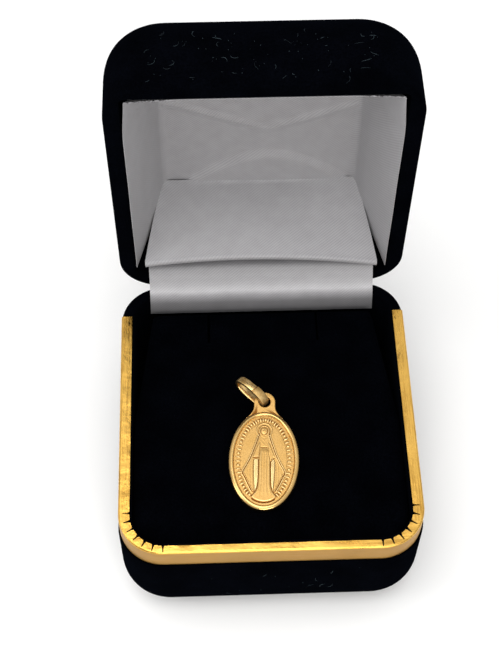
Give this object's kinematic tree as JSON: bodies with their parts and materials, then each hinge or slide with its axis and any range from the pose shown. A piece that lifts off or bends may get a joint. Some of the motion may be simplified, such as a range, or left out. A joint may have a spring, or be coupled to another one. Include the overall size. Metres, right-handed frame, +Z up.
{
  "type": "religious medal pendant in a hinged presentation box",
  "caption": "Oval religious medal with eyelet and jump ring, lying on the velvet pad of an open hinged presentation box with a gilt rim and a satin-lined lid.",
  "frame": {"origin": "centre of the flat underside of the box", "axes": "+X to the viewer's right facing the open box, +Y towards the hinge, +Z up"},
  "size_m": [0.0548, 0.075, 0.0821],
  "materials": {
    "box_velvet": "matt",
    "pad_velvet": "matt",
    "satin": "satin",
    "gilt_trim": "brushed",
    "medal_gold": "satin",
    "ring_gold": "polished"
  },
  "bodies": {
    "base": {"base_shell": "box_velvet", "base_trim": "gilt_trim", "velvet_pad": "pad_velvet", "hinge_cover": "satin", "medal": "medal_gold", "jump_ring": "ring_gold"},
    "lid": {"lid_shell": "box_velvet", "lid_lining": "satin", "lid_panel": "satin"}
  },
  "joints": [
    {"name": "lid_hinge", "type": "hinge", "parent": "base", "child": "lid", "pos_m": [0, 0.028, 0.02615], "axis": [1, 0, 0], "range_deg": [0, 90], "deforming": ["hinge_cover"]}
  ]
}
